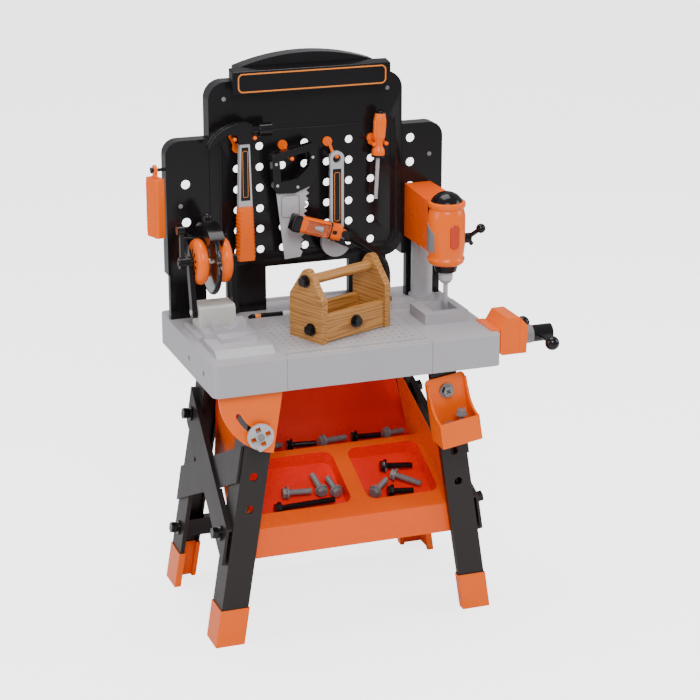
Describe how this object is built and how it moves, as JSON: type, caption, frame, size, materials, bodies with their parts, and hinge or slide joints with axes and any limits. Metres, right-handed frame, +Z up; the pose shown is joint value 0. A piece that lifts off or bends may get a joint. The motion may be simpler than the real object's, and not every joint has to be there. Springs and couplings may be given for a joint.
{
  "type": "toy tool bench",
  "caption": "Child's play tool bench with splayed legs, storage tray, moulded top carrying a chop saw, drill press and vise, and a peg board with hanging hand tools.",
  "frame": {"origin": "middle of the bounding box in plan, on the floor under the feet", "axes": "+X to the right along the bench top, +Y to the back (peg board), +Z up"},
  "size_m": [0.6613, 0.3736, 0.978],
  "materials": {
    "leg_plastic": "fine moulded texture",
    "orange_plastic": "moulded gloss",
    "black_plastic": "moulded gloss",
    "top_plastic": "satin moulding",
    "grey_plastic": "satin moulding",
    "trigger_plastic": "moulded gloss",
    "wood_look": "moulded wood grain",
    "clear_plastic": "clear moulding"
  },
  "bodies": {
    "bench": {"leg_front_left": "leg_plastic", "leg_front_right": "leg_plastic", "leg_back_left": "leg_plastic", "leg_back_right": "leg_plastic", "feet": "orange_plastic", "side_braces_falling": "leg_plastic", "side_braces_rising": "leg_plastic", "rear_stretcher": "black_plastic", "frame_bolts": "black_plastic", "storage_tray": "orange_plastic", "top_left": "top_plastic", "top_center": "top_plastic", "top_right": "top_plastic", "ruler_strip": "top_plastic", "pegboard_panel": "black_plastic", "wing_left": "black_plastic", "wing_right": "black_plastic", "header_sign": "black_plastic", "tool_hooks": "orange_plastic", "saw_base": "top_plastic", "drill_column": "grey_plastic", "vise_fixed_jaw": "orange_plastic", "bevel_plate": "orange_plastic", "parts_bin": "orange_plastic", "flashlight_neck": "black_plastic"},
    "saw_arm": {"saw_arms": "black_plastic"},
    "saw_spindle": {"saw_blade": "clear_plastic", "saw_drums": "orange_plastic", "saw_crank": "black_plastic"},
    "drill_carriage": {"drill_bracket": "orange_plastic", "drill_head": "orange_plastic", "drill_trim": "black_plastic"},
    "drill_trigger": {"drill_trigger": "trigger_plastic"},
    "drill_chuck": {"drill_chuck": "grey_plastic"},
    "feed_lever": {"feed_lever": "black_plastic"},
    "vise_jaw": {"vise_jaw": "orange_plastic", "vise_barrel": "grey_plastic"},
    "vise_handle": {"vise_handle": "black_plastic"},
    "bevel_slider": {"bevel_spindle": "grey_plastic"},
    "handwheel": {"handwheel": "grey_plastic"},
    "case": {"hanging_case": "orange_plastic"},
    "torch": {"flashlight_body": "orange_plastic", "flashlight_lens": "clear_plastic"},
    "torch_switch": {"flashlight_switch": "black_plastic"},
    "hammer": {"hammer_head": "black_plastic", "hammer_shaft": "grey_plastic", "hammer_grip": "orange_plastic"},
    "hand_saw": {"hand_saw_handle": "black_plastic", "hand_saw_blade": "grey_plastic"},
    "wrench": {"wrench_body": "grey_plastic"},
    "wrench_jaw": {"wrench_jaw": "grey_plastic"},
    "wrench_worm": {"wrench_worm": "grey_plastic"},
    "screwdriver": {"screwdriver_handle": "orange_plastic", "screwdriver_blade": "grey_plastic"},
    "marker": {"marker_pen": "black_plastic"},
    "bolts": {"loose_bolts": "grey_plastic"},
    "toolbox": {"toolbox_ends": "wood_look", "toolbox_boards": "wood_look", "toolbox_bar": "wood_look", "toolbox_bolts": "black_plastic"}
  },
  "joints": [
    {"name": "saw_tilt", "type": "hinge", "parent": "bench", "child": "saw_arm", "pos_m": [-0.24435, 0.02755, 0.557], "axis": [1, 0, 0], "range_deg": [0, 40]},
    {"name": "saw_crank_turn", "type": "hinge", "parent": "saw_arm", "child": "saw_spindle", "pos_m": [-0.24435, 0.04505, 0.641], "axis": [1, 0, 0], "continuous": true},
    {"name": "drill_slide", "type": "slide", "parent": "bench", "child": "drill_carriage", "axis": [0, 0, -1], "range_m": [0, 0.015]},
    {"name": "drill_trigger_press", "type": "slide", "parent": "drill_carriage", "child": "drill_trigger", "axis": [0, 1, 0], "range_m": [0, 0.0025], "stiffness_N_per_m": 400, "springref_m": -0.001},
    {"name": "drill_chuck_turn", "type": "hinge", "parent": "drill_carriage", "child": "drill_chuck", "pos_m": [0.16015, -0.03295, 0.6], "axis": [0, 0, 1], "continuous": true},
    {"name": "feed_lever_turn", "type": "hinge", "parent": "drill_carriage", "child": "feed_lever", "pos_m": [0.16015, -0.03295, 0.66], "axis": [1, 0, 0], "range_deg": [0, 61]},
    {"name": "vise_slide", "type": "slide", "parent": "bench", "child": "vise_jaw", "axis": [1, 0, 0], "range_m": [0, 0.025]},
    {"name": "vise_screw", "type": "hinge", "parent": "vise_jaw", "child": "vise_handle", "pos_m": [0.25465, -0.10545, 0.496], "axis": [1, 0, 0], "range_deg": [0, 720]},
    {"name": "bevel_swing", "type": "hinge", "parent": "bench", "child": "bevel_slider", "pos_m": [-0.17935, -0.14845, 0.462], "axis": [0, 1, 0], "range_deg": [0, 35]},
    {"name": "handwheel_turn", "type": "hinge", "parent": "bevel_slider", "child": "handwheel", "pos_m": [-0.22153, -0.15445, 0.38591], "axis": [0, 1, 0], "continuous": true},
    {"name": "case_swing", "type": "hinge", "parent": "bench", "child": "case", "pos_m": [-0.31735, 0.12505, 0.788], "axis": [1, 0, 0], "range_deg": [-8, 15]},
    {"name": "torch_tilt", "type": "hinge", "parent": "bench", "child": "torch", "pos_m": [0.00164, 0.05305, 0.6645], "axis": [0, 1, 0], "range_deg": [-15, 15]},
    {"name": "torch_switch_press", "type": "slide", "parent": "torch", "child": "torch_switch", "axis": [0, 1, 0], "range_m": [0, 0.0015], "stiffness_N_per_m": 300, "springref_m": -0.001},
    {"name": "hammer_pull", "type": "slide", "parent": "bench", "child": "hammer", "axis": [0, -1, 0], "range_m": [0, 0.03]},
    {"name": "hand_saw_lift", "type": "slide", "parent": "bench", "child": "hand_saw", "axis": [0, 0, 1], "range_m": [0, 0.025]},
    {"name": "wrench_pull", "type": "slide", "parent": "bench", "child": "wrench", "axis": [0, -1, 0], "range_m": [0, 0.015]},
    {"name": "wrench_jaw_slide", "type": "slide", "parent": "wrench", "child": "wrench_jaw", "axis": [-0.4695, 0, -0.8829], "range_m": [0, 0.009]},
    {"name": "wrench_worm_turn", "type": "hinge", "parent": "wrench", "child": "wrench_worm", "pos_m": [-0.0106, 0.08705, 0.65597], "axis": [0.4695, 0, 0.8829], "range_deg": [0, 541]},
    {"name": "screwdriver_pull", "type": "slide", "parent": "bench", "child": "screwdriver", "axis": [0, -1, 0], "range_m": [0, 0.03]},
    {"name": "marker_lift", "type": "slide", "parent": "bench", "child": "marker", "axis": [0, 0, 1], "range_m": [0, 0.03]},
    {"name": "bolts_lift", "type": "slide", "parent": "bench", "child": "bolts", "axis": [0, 0, 1], "range_m": [0, 0.03]},
    {"name": "toolbox_lift", "type": "slide", "parent": "bench", "child": "toolbox", "axis": [0, 0, 1], "range_m": [0, 0.04]}
  ],
  "couplings": [
    {"joint": "feed_lever_turn", "follows": "drill_slide", "rad_per_m": 69.813},
    {"joint": "vise_screw", "follows": "vise_slide", "rad_per_m": 501.96},
    {"joint": "wrench_worm_turn", "follows": "wrench_jaw_slide", "rad_per_m": 1047.2}
  ]
}
